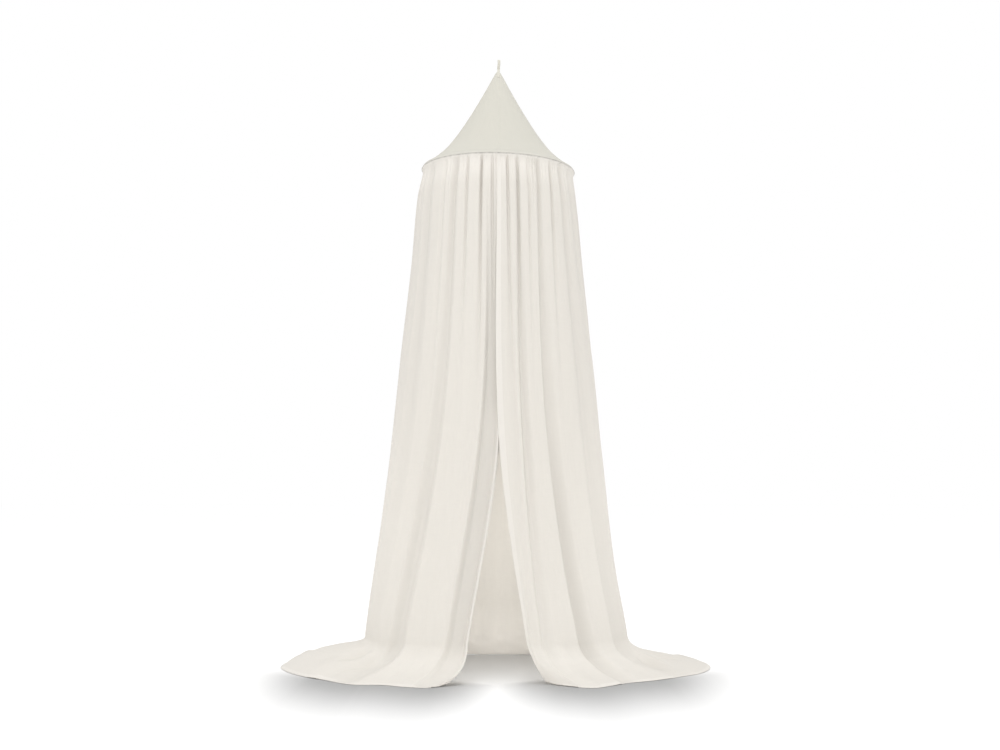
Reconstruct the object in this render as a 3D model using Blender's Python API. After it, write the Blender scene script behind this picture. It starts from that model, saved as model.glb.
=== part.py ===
"""Bed canopy that hangs from a ceiling hook.

A cloth cone is sewn round a 50 cm hoop, and one gathered curtain, open at the front, hangs from the hoop to
the floor and spreads there in a train. Metres, +Z up. The origin is the point of the hook inside the
hanging loop, the opening faces -Y, and angles round the canopy run from the front towards +X.
"""

import math
from collections import namedtuple

import bpy
from mathutils import Matrix, Vector

# Heights above the floor
HOOK_HEIGHT = 1.998
TIP_HEIGHT = 1.9575
HOOP_HEIGHT = 1.6225

# Hanging loop: a flat tape, doubled, with its ends sewn down on the tip of the cone
TAPE_WIDTH = 0.009
TAPE_THICKNESS = 0.0015
TAPE_TAIL = 0.022
LOOP_HALF_OPENING = 0.0058
LOOP_LEAN = 0.0012

# Hoop, and the hem of the cone that is turned round it
HOOP_RADIUS = 0.2433
HOOP_ROD_RADIUS = 0.004
CASING_RADIUS = 0.0065
CASING_START = 48.0
CASING_TURN = 270.0
HOOP_DROP_TO_RIGHT = math.radians(1.4)
HOOP_RISE_TO_FRONT = math.radians(1.3)

# Cone: how far its cloth lies below the tip at a radius
CONE_TIP_RADIUS = 0.004
CONE_TIP_SLOPE = 1.65
CLOTH = 0.0018
Rim = namedtuple("Rim", "radius drop")
CONE_OUTLINE = (
    Rim(0.004, 0.0066),
    Rim(0.040, 0.0660),
    Rim(0.080, 0.1330),
    Rim(0.120, 0.1980),
    Rim(0.150, 0.2410),
    Rim(0.175, 0.2720),
    Rim(0.200, 0.2960),
    Rim(0.225, 0.3160),
)

# Curtain
CURTAIN_THICKNESS = 0.002
SEAM_GAP = 0.0006
WAIST_HEIGHT = 0.85
OPENING_HEIGHT = 0.74
FLARE_HEIGHT = 0.12
HEADING = 0.05
HEADING_DEPTH = 0.45
VALLEY_SHARPNESS = 1.3
FLARE_TUCK = 0.012
FLARE_FULLNESS = 0.45
FLARE_KNEE = 0.085
HEM_LIFT = 0.006

RING_STEPS = 48
HOOP_SIDES = 6
CASING_BANDS = 9
COLUMNS_PER_FOLD = 4
WALL_HEIGHTS = (1.595, 1.56, 1.50, 1.38, 1.24, 1.10, 0.97, 0.85, 0.74, 0.62, 0.49, 0.36, 0.24, 0.17, 0.12)
TRAIN_STEPS = (0.2, 0.4, 0.6, 0.8, 1.0)

# Radius of the curtain's outermost cloth at a height, on its four sides
Section = namedtuple("Section", "height front right back left")
SECTIONS = (
    Section(1.615, 0.2470, 0.2470, 0.2470, 0.2470),
    Section(1.530, 0.2570, 0.2585, 0.2610, 0.2665),
    Section(1.300, 0.2660, 0.2800, 0.2830, 0.2870),
    Section(1.000, 0.2740, 0.3110, 0.3120, 0.3215),
    Section(0.700, 0.2830, 0.3390, 0.3380, 0.3530),
    Section(0.350, 0.2940, 0.3760, 0.3640, 0.3980),
    Section(0.120, 0.3020, 0.4180, 0.3800, 0.4300),
)

# How far the hem lies from the axis, and how high the train is heaped inside it, by angle
Reach = namedtuple("Reach", "angle radius heap")
HEM_REACH = (
    Reach(26, 0.312, 0.034),
    Reach(31, 0.400, 0.034),
    Reach(36, 0.470, 0.034),
    Reach(45, 0.470, 0.034),
    Reach(55, 0.464, 0.034),
    Reach(65, 0.500, 0.038),
    Reach(75, 0.572, 0.045),
    Reach(85, 0.648, 0.050),
    Reach(98, 0.702, 0.050),
    Reach(112, 0.722, 0.046),
    Reach(128, 0.668, 0.042),
    Reach(144, 0.545, 0.038),
    Reach(157, 0.462, 0.034),
    Reach(170, 0.434, 0.034),
    Reach(190, 0.434, 0.034),
    Reach(203, 0.462, 0.034),
    Reach(216, 0.550, 0.040),
    Reach(232, 0.678, 0.052),
    Reach(248, 0.735, 0.075),
    Reach(261, 0.727, 0.094),
    Reach(270, 0.684, 0.098),
    Reach(281, 0.622, 0.086),
    Reach(292, 0.562, 0.056),
    Reach(305, 0.536, 0.036),
    Reach(312, 0.474, 0.034),
    Reach(322, 0.452, 0.034),
    Reach(330, 0.436, 0.034),
    Reach(334, 0.325, 0.034),
)

# Valleys between the folds: the angle of each at the hoop, waist, foot and hem, and its depth in
# millimetres just under the heading, at the waist, at the foot and at the hem. The first and last rows
# are the two front edges.
Fold = namedtuple("Fold", "hoop waist foot hem deep_hoop deep_waist deep_foot deep_hem")
Column = namedtuple("Column", Fold._fields + ("waist_height",))
FOLDS = (
    Fold(-0.5, 0.6, 16.3, 26.5, 0, 0, 0, 0),
    Fold(6.5, 11.0, 21.0, 30.0, 9, 8, 6, 2),
    Fold(14.0, 16.0, 28.0, 36.0, 16, 15, 15, 4),
    Fold(22.0, 24.0, 37.0, 44.0, 7, 3, 4, 2),
    Fold(29.5, 31.5, 47.0, 54.0, 13, 15, 24, 7),
    Fold(41.0, 41.0, 57.0, 64.0, 14, 7, 5, 2),
    Fold(51.0, 60.0, 69.0, 77.0, 14, 13, 19, 6),
    Fold(66.0, 76.0, 85.0, 92.0, 11, 10, 9, 3),
    Fold(79.0, 89.0, 98.0, 104.0, 9, 10, 15, 5),
    Fold(92.0, 101.0, 110.0, 115.0, 12, 9, 9, 3),
    Fold(105.0, 113.0, 122.0, 126.0, 8, 13, 18, 6),
    Fold(118.0, 125.0, 133.0, 137.0, 13, 8, 7, 2),
    Fold(131.0, 138.0, 145.0, 148.0, 9, 13, 19, 5),
    Fold(144.0, 150.0, 156.0, 158.0, 12, 8, 8, 3),
    Fold(157.0, 162.0, 167.0, 168.0, 8, 12, 17, 6),
    Fold(170.0, 173.0, 177.0, 178.0, 13, 9, 9, 2),
    Fold(183.0, 184.0, 187.0, 188.0, 9, 13, 18, 6),
    Fold(196.0, 196.0, 197.0, 197.0, 12, 8, 7, 3),
    Fold(209.0, 207.0, 207.0, 206.0, 10, 13, 18, 5),
    Fold(222.0, 218.0, 216.0, 214.0, 13, 8, 9, 2),
    Fold(234.0, 229.0, 225.0, 222.0, 8, 13, 18, 6),
    Fold(246.0, 240.0, 235.0, 231.0, 12, 9, 8, 3),
    Fold(258.0, 252.0, 246.0, 241.0, 9, 10, 13, 5),
    Fold(269.0, 265.0, 257.0, 251.0, 11, 8, 9, 3),
    Fold(280.0, 278.0, 268.0, 261.0, 8, 9, 12, 5),
    Fold(291.0, 289.0, 278.0, 271.0, 6, 6, 6, 2),
    Fold(302.0, 300.0, 288.0, 281.0, 10, 10, 11, 4),
    Fold(319.0, 315.0, 299.0, 292.0, 6, 4, 3, 2),
    Fold(329.0, 322.0, 306.5, 301.0, 12, 13, 15, 5),
    Fold(338.0, 334.0, 319.0, 312.0, 8, 4, 3, 1),
    Fold(348.5, 345.5, 327.0, 321.0, 14, 7, 2, 1),
    Fold(355.5, 354.5, 336.0, 328.0, 14, 24, 17, 3),
    Fold(360.0, 361.2, 343.0, 334.0, 9, 7, 0, 0),
)


def z_at(height):
    """Height above the floor as a Z value, which counts from the hook."""
    return height - HOOK_HEIGHT


def hoop_tilt(x, y):
    """The hoop hangs a little askew: lower on its right, higher at the front."""
    return -x * math.tan(HOOP_DROP_TO_RIGHT) - y * math.tan(HOOP_RISE_TO_FRONT)


def smooth_lookup(keys, values, key):
    """Value at a key on the smooth curve through a table whose keys rise."""
    key = min(max(key, keys[0]), keys[-1])
    i = 0
    while i < len(keys) - 2 and keys[i + 1] < key:
        i += 1
    span = keys[i + 1] - keys[i]
    t = (key - keys[i]) / span

    def slope(j):
        low, high = max(j - 1, 0), min(j + 1, len(keys) - 1)
        return (values[high] - values[low]) / (keys[high] - keys[low]) * span

    a, b = values[i], values[i + 1]
    return (
        a * (2 * t ** 3 - 3 * t ** 2 + 1)
        + slope(i) * (t ** 3 - 2 * t ** 2 + t)
        + b * (3 * t ** 2 - 2 * t ** 3)
        + slope(i + 1) * (t ** 3 - t ** 2)
    )


def wall_radius(height, angle):
    """Radius of the folds' crests at a height and angle."""
    rows = sorted(SECTIONS)
    keys = [row.height for row in rows]
    across = math.sin(math.radians(angle))
    along = math.cos(math.radians(angle))
    side = smooth_lookup(keys, [row.right if across > 0 else row.left for row in rows], height)
    end = smooth_lookup(keys, [row.front if along > 0 else row.back for row in rows], height)
    return side * across ** 2 + end * along ** 2


def hem_radius(angle):
    """Distance of the hem from the axis at an angle."""
    return smooth_lookup([row.angle for row in HEM_REACH], [row.radius for row in HEM_REACH], angle)


def train_heap(angle):
    """Height that pulls up the train between the wall and the hem at an angle."""
    return smooth_lookup([row.angle for row in HEM_REACH], [row.heap for row in HEM_REACH], angle)


def make_material(name, colour, roughness, metallic=0.0):
    material = bpy.data.materials.new(name)
    material.use_nodes = True
    shader = material.node_tree.nodes["Principled BSDF"]
    shader.inputs["Base Color"].default_value = (*colour, 1.0)
    shader.inputs["Roughness"].default_value = roughness
    shader.inputs["Metallic"].default_value = metallic
    return material


def make_object(name, points, faces, material):
    mesh = bpy.data.meshes.new(name)
    mesh.from_pydata(points, [], faces)
    mesh.materials.append(material)
    mesh.shade_smooth()
    mesh.update()
    part = bpy.data.objects.new(name, mesh)
    bpy.context.scene.collection.objects.link(part)
    return part


def ring_faces(count, sides):
    """Faces between sections of the same number of points, closed both ways."""
    faces = []
    for i in range(count):
        for j in range(sides):
            a, b = i * sides + j, i * sides + (j + 1) % sides
            c, d = (i + 1) % count * sides + j, (i + 1) % count * sides + (j + 1) % sides
            faces.append((a, c, d, b))
    return faces


def cone_profile():
    """Outer side of the cone from its tip to the hoop, then the hem turned round the hoop, as (r, z)."""
    outline = [(rim.radius, z_at(TIP_HEIGHT) - rim.drop) for rim in CONE_OUTLINE]
    start = math.radians(CASING_START)
    turn = math.radians(CASING_TURN)
    for i in range(CASING_BANDS + 1):
        angle = start - turn * i / CASING_BANDS
        outline.append(
            (HOOP_RADIUS + CASING_RADIUS * math.cos(angle), z_at(HOOP_HEIGHT) + CASING_RADIUS * math.sin(angle))
        )
    return outline


def inner_profile(outline):
    """The same profile one cloth's thickness further in."""
    inner = []
    for i, (r, z) in enumerate(outline):
        r0, z0 = outline[max(i - 1, 0)]
        r1, z1 = outline[min(i + 1, len(outline) - 1)]
        along = Vector((r1 - r0, z1 - z0)).normalized()
        inner.append((r + along.y * CLOTH, z - along.x * CLOTH))
    return inner


def build_cone(material):
    """One sheet turned round the axis; its tip is closed on both sides by a point."""
    outer = cone_profile()
    inner = inner_profile(outer)
    loop = outer + inner[::-1]
    sides = len(loop)
    points, faces = [], []
    for i in range(RING_STEPS):
        angle = 2 * math.pi * i / RING_STEPS
        for r, z in loop:
            x, y = r * math.sin(angle), -r * math.cos(angle)
            points.append((x, y, z + hoop_tilt(x, y)))
    for i in range(RING_STEPS):
        k = (i + 1) % RING_STEPS
        for j in range(sides - 1):
            faces.append((i * sides + j, i * sides + j + 1, k * sides + j + 1, k * sides + j))
    top, under = len(points), len(points) + 1
    points.append((0, 0, outer[0][1] + CONE_TIP_RADIUS / 2))
    points.append((0, 0, inner[0][1]))
    for i in range(RING_STEPS):
        k = (i + 1) % RING_STEPS
        faces.append((top, i * sides, k * sides))
        faces.append((under, k * sides + sides - 1, i * sides + sides - 1))
    return make_object("cone", points, faces, material)


def build_hoop(material):
    points = []
    for i in range(RING_STEPS):
        angle = 2 * math.pi * i / RING_STEPS
        for j in range(HOOP_SIDES):
            turn = 2 * math.pi * j / HOOP_SIDES
            r = HOOP_RADIUS + HOOP_ROD_RADIUS * math.cos(turn)
            x, y = r * math.sin(angle), -r * math.cos(angle)
            points.append((x, y, z_at(HOOP_HEIGHT) + HOOP_ROD_RADIUS * math.sin(turn) + hoop_tilt(x, y)))
    return make_object("hoop", points, ring_faces(RING_STEPS, HOOP_SIDES), material)


def tape_route():
    """Middle line of the tape in the YZ plane: up the front of the tip, round the loop, down the back."""
    clear = TAPE_THICKNESS / 2 + 0.0005
    flank = math.atan(CONE_TIP_SLOPE)
    tip = z_at(TIP_HEIGHT)
    front = []
    for along in (TAPE_TAIL, TAPE_TAIL * 0.5, 0.004):
        r = CONE_TIP_RADIUS + along * math.cos(flank)
        z = tip - CONE_TIP_SLOPE * r
        front.append((-r - clear * math.sin(flank), z + clear * math.cos(flank)))
    front.append((-0.0030, tip + 0.004))
    front.append((-0.0046, tip + 0.012))
    front.append((-LOOP_HALF_OPENING, tip + 0.022))
    top = -LOOP_HALF_OPENING + TAPE_THICKNESS / 2
    arc = []
    for i in range(7):
        angle = math.pi * (1 - i / 6)
        arc.append((LOOP_HALF_OPENING * math.cos(angle), top + LOOP_HALF_OPENING * math.sin(angle)))
    return front + arc + [(-y, z) for y, z in reversed(front)]


def build_loop(material):
    route = tape_route()
    points = []
    for i, (y, z) in enumerate(route):
        y0, z0 = route[max(i - 1, 0)]
        y1, z1 = route[min(i + 1, len(route) - 1)]
        along = Vector((y1 - y0, z1 - z0)).normalized()
        side = Vector((-along.y, along.x)) * TAPE_THICKNESS / 2
        lean = LOOP_LEAN * math.sin(math.pi * i / (len(route) - 1) * 3)
        for half, way in ((-1, 1), (1, 1), (1, -1), (-1, -1)):
            points.append((lean + half * TAPE_WIDTH / 2, y + way * side.x, z + way * side.y))
    faces = []
    for i in range(len(route) - 1):
        for j in range(4):
            a, b = i * 4 + j, i * 4 + (j + 1) % 4
            faces.append((a, b, b + 4, a + 4))
    last = 4 * (len(route) - 1)
    faces.append((3, 2, 1, 0))
    faces.append((last, last + 1, last + 2, last + 3))
    return make_object("hanging_loop", points, faces, material)


def fold_columns():
    """Every column of the curtain: where it runs, how deep it lies and how high its waist is."""
    last = len(FOLDS) - 1
    waists = [OPENING_HEIGHT if i in (0, last) else WAIST_HEIGHT for i in range(last + 1)]
    columns = []
    for i in range(last * COLUMNS_PER_FOLD + 1):
        k = min(i // COLUMNS_PER_FOLD, last - 1)
        t = i / COLUMNS_PER_FOLD - k
        left, right = FOLDS[k], FOLDS[k + 1]
        share = abs(math.cos(math.pi * t)) ** (2 * VALLEY_SHARPNESS)
        nearest = left if t < 0.5 else right
        angles = [a + (b - a) * t for a, b in zip(left[:4], right[:4])]
        depths = [share * deep / 1000 for deep in nearest[4:]]
        columns.append(Column(*angles, *depths, waists[k] + (waists[k + 1] - waists[k]) * t))
    return columns


def wall_point(column, height, top):
    """A point of the hanging part: crest radius less the valley's depth, and the hoop's tilt fading down."""
    bend = column.waist_height
    if height > bend:
        t = (height - bend) / (top - bend)
        angle = column.waist + (column.hoop - column.waist) * t
        depth = column.deep_waist + (column.deep_hoop - column.deep_waist) * t
    else:
        t = (bend - height) / (bend - FLARE_HEIGHT)
        angle = column.waist + (column.foot - column.waist) * t
        depth = column.deep_waist + (column.deep_foot - column.deep_waist) * t
    below = top - height
    if below < HEADING:
        depth *= HEADING_DEPTH + (1 - HEADING_DEPTH) * below / HEADING
    r = wall_radius(height, angle) - CURTAIN_THICKNESS / 2 - depth
    x = r * math.sin(math.radians(angle))
    y = -r * math.cos(math.radians(angle))
    return Vector((x, y, z_at(height) + hoop_tilt(x, y) * (height / top) ** 2))


def train_point(column, step):
    """A point of the cloth that bends out from the wall's foot and lies on the floor."""
    start = wall_radius(FLARE_HEIGHT, column.foot)
    end = hem_radius(column.hem)
    spread = end - start
    knots = (
        (start, FLARE_HEIGHT),
        (start + FLARE_TUCK, FLARE_KNEE),
        (start + FLARE_FULLNESS * spread, train_heap(column.hem)),
        (end, HEM_LIFT),
    )
    weights = ((1 - step) ** 3, 3 * step * (1 - step) ** 2, 3 * step ** 2 * (1 - step), step ** 3)
    slopes = ((1 - step) ** 2, 2 * step * (1 - step), step ** 2)
    r = sum(w * k[0] for w, k in zip(weights, knots))
    height = sum(w * k[1] for w, k in zip(weights, knots))
    run = sum(s * (b[0] - a[0]) for s, a, b in zip(slopes, knots, knots[1:]))
    fall = sum(s * (b[1] - a[1]) for s, a, b in zip(slopes, knots, knots[1:]))
    depth = CURTAIN_THICKNESS / 2 + column.deep_foot + (column.deep_hem - column.deep_foot) * step
    length = math.hypot(run, fall)
    r += depth * fall / length
    height = max(height - depth * run / length, CURTAIN_THICKNESS / 2 + 0.0002)
    angle = math.radians(column.foot + (column.hem - column.foot) * step)
    return Vector((r * math.sin(angle), -r * math.cos(angle), z_at(height)))


def build_curtain(material):
    top = HOOP_HEIGHT - CASING_RADIUS - SEAM_GAP
    columns = fold_columns()
    points, faces = [], []
    for column in columns:
        for height in (top,) + WALL_HEIGHTS:
            points.append(wall_point(column, height, top))
        for step in TRAIN_STEPS:
            points.append(train_point(column, step))
    rows = 1 + len(WALL_HEIGHTS) + len(TRAIN_STEPS)
    for i in range(len(columns) - 1):
        for j in range(rows - 1):
            a, b = i * rows + j, (i + 1) * rows + j
            faces.append((a, a + 1, b + 1, b))
    curtain = make_object("curtain", points, faces, material)
    thicken = curtain.modifiers.new("thickness", "SOLIDIFY")
    thicken.thickness = CURTAIN_THICKNESS
    thicken.offset = 0.0
    return curtain


def main():
    for old in list(bpy.data.objects):
        bpy.data.objects.remove(old)
    cotton = make_material("off_white_cotton", (0.80, 0.77, 0.71), 0.9)
    cone_cotton = make_material("off_white_cotton_cone", (0.76, 0.74, 0.66), 0.9)
    tape = make_material("off_white_tape", (0.78, 0.77, 0.72), 0.85)
    plastic = make_material("white_plastic_rod", (0.85, 0.85, 0.83), 0.4)
    canopy = bpy.data.objects.new("canopy", None)
    bpy.context.scene.collection.objects.link(canopy)
    for part in (build_loop(tape), build_cone(cone_cotton), build_hoop(plastic), build_curtain(cotton)):
        part.parent = canopy
        part.matrix_parent_inverse = Matrix.Identity(4)


main()
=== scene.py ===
"""Bed canopy: a cloth cone on a hoop, one gathered curtain open at the front, and a hanging loop.

Metres, +Z up. The origin is the point of the hook inside the hanging loop, the opening faces -Y, and angles
round the canopy run from the front towards +X.
"""

import math
from collections import namedtuple

import bpy
import numpy as np
from bpy.props import FloatProperty, FloatVectorProperty, IntProperty, PointerProperty
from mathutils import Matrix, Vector


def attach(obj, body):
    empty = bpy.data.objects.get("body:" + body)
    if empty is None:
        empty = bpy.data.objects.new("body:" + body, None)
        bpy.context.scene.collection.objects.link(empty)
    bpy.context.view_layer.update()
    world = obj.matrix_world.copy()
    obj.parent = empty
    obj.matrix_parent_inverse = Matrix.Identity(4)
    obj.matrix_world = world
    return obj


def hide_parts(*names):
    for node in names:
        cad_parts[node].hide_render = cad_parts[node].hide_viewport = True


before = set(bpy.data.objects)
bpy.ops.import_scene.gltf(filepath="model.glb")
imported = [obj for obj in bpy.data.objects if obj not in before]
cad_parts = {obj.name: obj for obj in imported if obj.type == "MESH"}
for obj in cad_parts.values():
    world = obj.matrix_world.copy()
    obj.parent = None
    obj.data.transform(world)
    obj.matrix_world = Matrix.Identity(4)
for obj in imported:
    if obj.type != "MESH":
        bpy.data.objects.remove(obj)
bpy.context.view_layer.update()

bl_info = {
    "name": "Bed canopy",
    "version": (1, 0, 0),
    "blender": (4, 5, 0),
    "location": "3D View > Sidebar > Canopy",
    "description": "Builds a hanging cotton bed canopy with its hoop, curtain and loop",
    "category": "Object",
}

# Heights above the floor
HOOK_HEIGHT = 1.998
TIP_HEIGHT = 1.9575
HOOP_HEIGHT = 1.6225

# Hoop and the hem of the cone that is turned round it
HOOP_RADIUS = 0.2433
HOOP_DROP_TO_RIGHT = math.radians(1.4)
HOOP_RISE_TO_FRONT = math.radians(1.3)

# Levels of the curtain above the floor: its waist, the top of its opening, and where it starts to flare out
WAIST_HEIGHT = 0.85
OPENING_HEIGHT = 0.74
FLARE_HEIGHT = 0.12

# How the cloth bends out on to the floor: the slope it starts with, the height of the bend where the train
# lies flat, the same as a share of the heap where it is heaped, and how far out it levels off, as a share
FLARE_SLOPE = 0.12
FLARE_KNEE = 0.066
HEAP_KNEE = 0.74
FLARE_FULLNESS = 0.52

# Train on the floor: its length of cloth, how much it puffs up where it is long, how far its hem lies off the
# floor, and the least that any of its cloth does
TRAIN_LENGTH = 0.36
TRAIN_PUFF = 0.005
HEM_LIFT = 0.006
FLOOR_GAP = 0.0026

# Heading: how far down its stitches hold the folds shallow, the share of their depth left there, how far down
# they press the pleats flat, and how far under the hoop's middle the seam lies
HEADING = 0.05
HEADING_DEPTH = 0.42
PRESSED = 0.010
SEAM_DROP = 0.0012

# How far the curtain's cloth lies inside the outline that SECTIONS gives
CLOTH_LIFT = 0.001

# Width of the flat cloth that the weave is laid out on
WEAVE_WIDTH = 3.3

# Distances under the hoop, along the cloth, from which the train is given painted light and is crumpled
PAINTED_LIGHT_FROM = 1.5
CRUMPLED_FROM = 1.42

# How double the cloth looks, as a share: at the hems of the front edges and at the bottom hem; painted light
# low on the back, lifting the shade at its foot; in the stitched heading; and painted light on the train
DOUBLE_EDGE = 0.35
DOUBLE_HEM = 0.5
PAINTED_LIGHT_BACK = 0.85
DOUBLE_HEADING = 0.45
PAINTED_LIGHT_TRAIN = 0.2

# Cone: how far its cloth lies below the tip at a radius
Rim = namedtuple("Rim", "radius drop")
CONE_OUTLINE = (
    Rim(0.0008, -0.0030),
    Rim(0.0060, 0.0010),
    Rim(0.0140, 0.0140),
    Rim(0.0280, 0.0400),
    Rim(0.0400, 0.0625),
    Rim(0.080, 0.1330),
    Rim(0.120, 0.1980),
    Rim(0.150, 0.2410),
    Rim(0.175, 0.2720),
    Rim(0.200, 0.2960),
    Rim(0.225, 0.3160),
    Rim(0.2476, 0.3302),
)

# Cone: columns and rows of its mesh and rows round the hoop, the ridge of the felled seam down its front (its
# height and half width), how far beside the ridge its stitches run, and the radius of the hem's stitches
CONE_COLUMNS = 440
CONE_ROWS = 72
ROUND_ROWS = 18
SEAM_RIDGE = 0.0008
SEAM_HALF_WIDTH = 0.0042
SEAM_STITCHES = 0.0045
HEM_STITCHES = 0.2330

# Hanging loop: half the width of its bend, the radii at which its tape lies on the cone, and how far from the
# axis and how high over the tip it is on its way up
LOOP_HALF_WIDTH = 0.0058
TAPE_ON_CONE = (0.0190, 0.0150, 0.0110, 0.0070)
TAPE_RISING = ((0.0036, 0.0085), (0.0046, 0.014), (LOOP_HALF_WIDTH, 0.022))

# Radius of the curtain's outermost cloth at a height, on its four sides
Section = namedtuple("Section", "height front right back left")
SECTIONS = (
    Section(0.120, 0.3020, 0.4180, 0.3800, 0.4300),
    Section(0.350, 0.2940, 0.3760, 0.3640, 0.3980),
    Section(0.700, 0.2830, 0.3390, 0.3380, 0.3530),
    Section(1.000, 0.2740, 0.3110, 0.3120, 0.3215),
    Section(1.300, 0.2660, 0.2800, 0.2830, 0.2870),
    Section(1.530, 0.2570, 0.2585, 0.2610, 0.2665),
    Section(1.615, 0.2470, 0.2470, 0.2470, 0.2470),
)

# How far the hem lies from the axis, and how high the train is heaped inside it, by angle
Reach = namedtuple("Reach", "angle radius heap")
HEM_REACH = (
    Reach(26, 0.312, 0.034),
    Reach(31, 0.400, 0.034),
    Reach(36, 0.470, 0.034),
    Reach(45, 0.474, 0.034),
    Reach(55, 0.482, 0.034),
    Reach(65, 0.526, 0.038),
    Reach(75, 0.580, 0.050),
    Reach(85, 0.648, 0.064),
    Reach(98, 0.702, 0.066),
    Reach(112, 0.722, 0.056),
    Reach(128, 0.668, 0.042),
    Reach(144, 0.545, 0.038),
    Reach(157, 0.462, 0.034),
    Reach(170, 0.434, 0.034),
    Reach(190, 0.434, 0.034),
    Reach(203, 0.462, 0.034),
    Reach(216, 0.550, 0.040),
    Reach(232, 0.678, 0.052),
    Reach(248, 0.735, 0.084),
    Reach(261, 0.727, 0.106),
    Reach(270, 0.688, 0.112),
    Reach(281, 0.632, 0.100),
    Reach(292, 0.572, 0.060),
    Reach(305, 0.536, 0.036),
    Reach(312, 0.474, 0.034),
    Reach(322, 0.452, 0.034),
    Reach(331, 0.432, 0.034),
    Reach(335.2, 0.368, 0.034),
)

# Valleys between the folds: the angle of each at the hoop, waist, foot and hem, its depth in millimetres
# just under the heading, at the waist, at the foot and at the hem, how far it reaches towards the valleys
# on its two sides (0.2 is a sharp crease, 1 a broad trough), how much of that reach is its flat bottom, and
# how much narrower it is pinched at the hoop. The first and last rows are the two front edges.
Fold = namedtuple("Fold", "hoop waist foot hem deep_hoop deep_waist deep_foot deep_hem near far flat pinch")
FOLDS = (
    Fold(-0.5, 0.6, 16.3, 26.5, 0, 0, 0, 0, 0.5, 0.4, 0.0, 1.0),
    Fold(6.5, 10.0, 20.0, 30.0, 9, 4, 2, 1, 0.45, 0.45, 0.0, 0.45),
    Fold(14.0, 16.0, 26.0, 35.0, 14, 10, 6, 3, 0.4, 0.55, 0.1, 0.42),
    Fold(22.0, 24.0, 36.0, 44.0, 6, 1, 1, 1, 0.3, 0.4, 0.0, 0.5),
    Fold(29.5, 31.5, 46.0, 54.0, 11, 13, 22, 7, 0.3, 0.7, 0.1, 0.45),
    Fold(41.0, 43.5, 57.0, 64.0, 12, 1, 1, 2, 0.35, 0.5, 0.0, 0.45),
    Fold(51.0, 60.0, 69.0, 77.0, 14, 8, 12, 6, 0.4, 0.8, 0.1, 0.55),
    Fold(66.0, 76.0, 85.0, 92.0, 6, 2, 2, 2, 0.5, 0.5, 0.0, 0.8),
    Fold(79.0, 89.0, 98.0, 104.0, 6, 4, 4, 4, 0.7, 0.6, 0.0, 0.7),
    Fold(92.0, 101.0, 110.0, 115.0, 10, 7, 9, 3, 0.4, 0.6, 0.0, 0.8),
    Fold(105.0, 113.0, 122.0, 126.0, 8, 12, 18, 6, 0.5, 0.5, 0.1, 0.7),
    Fold(118.0, 125.0, 133.0, 137.0, 13, 5, 4, 2, 0.4, 0.5, 0.0, 0.8),
    Fold(131.0, 138.0, 145.0, 148.0, 7, 13, 19, 5, 0.6, 0.4, 0.0, 0.7),
    Fold(144.0, 150.0, 156.0, 158.0, 13, 6, 6, 3, 0.3, 0.5, 0.0, 0.8),
    Fold(157.0, 162.0, 167.0, 168.0, 6, 8, 6, 2, 0.4, 0.7, 0.2, 0.7),
    Fold(170.0, 173.0, 177.0, 178.0, 13, 4, 2, 1, 0.5, 0.3, 0.0, 0.8),
    Fold(183.0, 184.0, 187.0, 188.0, 8, 9, 6, 2, 0.7, 0.5, 0.0, 0.7),
    Fold(196.0, 196.0, 197.0, 197.0, 14, 5, 3, 1, 0.3, 0.5, 0.0, 0.8),
    Fold(209.0, 207.0, 207.0, 206.0, 7, 12, 14, 4, 0.5, 0.6, 0.2, 0.7),
    Fold(222.0, 218.0, 216.0, 214.0, 13, 8, 5, 2, 0.4, 0.3, 0.0, 0.8),
    Fold(234.0, 229.0, 225.0, 222.0, 8, 13, 17, 6, 0.7, 0.6, 0.0, 0.7),
    Fold(246.0, 240.0, 235.0, 231.0, 12, 6, 6, 3, 0.3, 0.5, 0.0, 0.8),
    Fold(258.0, 252.0, 246.0, 241.0, 7, 9, 12, 5, 0.6, 0.4, 0.1, 0.7),
    Fold(269.0, 265.0, 257.0, 251.0, 6, 3, 5, 3, 0.5, 0.5, 0.0, 0.8),
    Fold(280.0, 278.0, 268.0, 261.0, 5, 3, 4, 5, 0.7, 0.7, 0.0, 0.7),
    Fold(291.0, 289.0, 278.0, 271.0, 3, 2, 1, 2, 0.5, 0.5, 0.0, 0.8),
    Fold(302.0, 300.0, 288.0, 281.0, 10, 7, 2, 4, 0.9, 0.5, 0.0, 0.8),
    Fold(319.0, 315.0, 299.0, 292.0, 5, 1, 1, 2, 0.4, 0.4, 0.0, 0.5),
    Fold(329.0, 322.0, 305.5, 301.0, 12, 11, 15, 5, 0.8, 0.45, 0.1, 0.55),
    Fold(338.0, 334.0, 319.0, 312.0, 9, 1, 1, 1, 0.3, 0.3, 0.0, 0.5),
    Fold(348.5, 345.5, 327.0, 321.0, 13, 2, 0, 0, 0.4, 0.25, 0.1, 0.45),
    Fold(355.9, 354.9, 336.6, 328.6, 7, 16, 16, 5, 0.58, 0.92, 0.55, 0.3),
    Fold(360.0, 361.2, 343.0, 335.2, 9, 7, 0, 0, 0.15, 0.5, 0.0, 1.0),
)

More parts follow.
